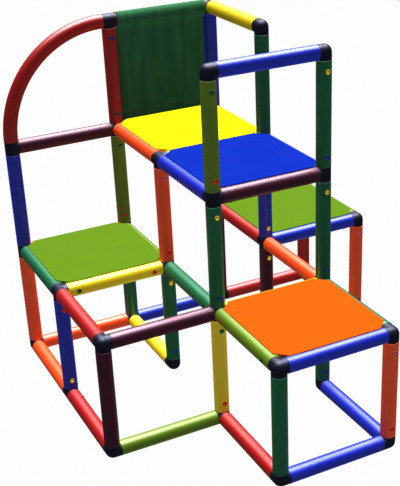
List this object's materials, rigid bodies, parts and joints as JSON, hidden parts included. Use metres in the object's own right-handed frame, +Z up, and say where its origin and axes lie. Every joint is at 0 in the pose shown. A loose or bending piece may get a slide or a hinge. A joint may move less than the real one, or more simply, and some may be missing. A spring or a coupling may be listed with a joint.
{
  "type": "climbing frame",
  "caption": "Free-standing play climber of coloured tubes and dark push-in connectors, with clip-on platforms, an arch and a cloth backrest.",
  "frame": {"origin": "middle of the footprint, on the floor", "axes": "+X to the right, +Y to the back where the arch and the backrest are, +Z up"},
  "size_m": [1.2512, 1.2526, 1.2514],
  "materials": {
    "tube_red": "smooth extruded polyethylene, soft gloss",
    "tube_orange": "smooth extruded polyethylene, soft gloss",
    "tube_yellow": "smooth extruded polyethylene, soft gloss",
    "tube_lime": "smooth extruded polyethylene, soft gloss",
    "tube_green": "smooth extruded polyethylene, soft gloss",
    "tube_blue": "smooth extruded polyethylene, soft gloss",
    "tube_plum": "smooth extruded polyethylene, soft gloss",
    "connector_navy": "moulded, satin",
    "platform_lime": "moulded, fine grain",
    "platform_orange": "moulded, fine grain",
    "platform_blue": "moulded, fine grain",
    "platform_yellow": "moulded, fine grain",
    "screw_blue": "moulded, smooth",
    "screw_green": "moulded, smooth",
    "screw_plum": "moulded, smooth",
    "screw_red": "moulded, smooth",
    "screw_yellow": "moulded, smooth",
    "cloth_green": "plain-woven polyester"
  },
  "bodies": {
    "root": {"front_step_leg_left": "tube_green", "front_step_leg_right": "tube_orange", "left_box_leg_front": "tube_plum", "tower_leg_front_left": "tube_yellow", "tower_leg_front_right": "tube_green", "left_step_leg_front": "tube_blue", "left_step_leg_rear": "tube_orange", "tower_legs_left": "tube_green", "tower_leg_middle_right": "tube_plum", "tower_leg_rear_right": "tube_plum", "right_step_leg_front": "tube_orange", "right_step_leg_rear": "tube_red", "tower_posts_front": "tube_green", "tower_post_middle_left": "tube_orange", "tower_post_middle_right": "tube_blue", "tower_post_rear_left": "tube_lime", "tower_post_rear_right": "tube_yellow", "arch_post": "tube_blue", "handrail_post_left": "tube_lime", "handrail_posts_right": "tube_green", "backrest_post_left": "tube_red", "backrest_post_right": "tube_blue", "floor_rails_orange": "tube_orange", "floor_rails_red": "tube_red", "floor_rails_blue": "tube_blue", "floor_rails_yellow": "tube_yellow", "floor_rails_lime": "tube_lime", "step_rails_green": "tube_green", "step_rails_yellow": "tube_yellow", "step_rails_lime": "tube_lime", "step_rails_red": "tube_red", "step_rails_plum": "tube_plum", "step_rails_blue": "tube_blue", "step_rails_orange": "tube_orange", "deck_rails_plum": "tube_plum", "deck_rail_orange": "tube_orange", "deck_rails_blue": "tube_blue", "deck_rails_yellow": "tube_yellow", "handrail_front": "tube_blue", "handrail_side": "tube_yellow", "backrest_rails": "tube_red", "arch_tube_curved": "tube_red", "elbow_connectors": "connector_navy", "corner_connectors": "connector_navy", "tee_connectors": "connector_navy", "four_way_connectors": "connector_navy", "five_way_connectors": "connector_navy", "six_way_connector": "connector_navy", "arch_tee_connectors": "connector_navy", "front_step_platform": "platform_orange", "left_step_platform": "platform_lime", "right_step_platform": "platform_lime", "tower_front_platform": "platform_blue", "tower_rear_platform": "platform_yellow", "backrest_cloth": "cloth_green", "screws_blue": "screw_blue", "screws_green": "screw_green", "screws_plum": "screw_plum", "screws_red": "screw_red", "screws_yellow": "screw_yellow"}
  },
  "joints": []
}
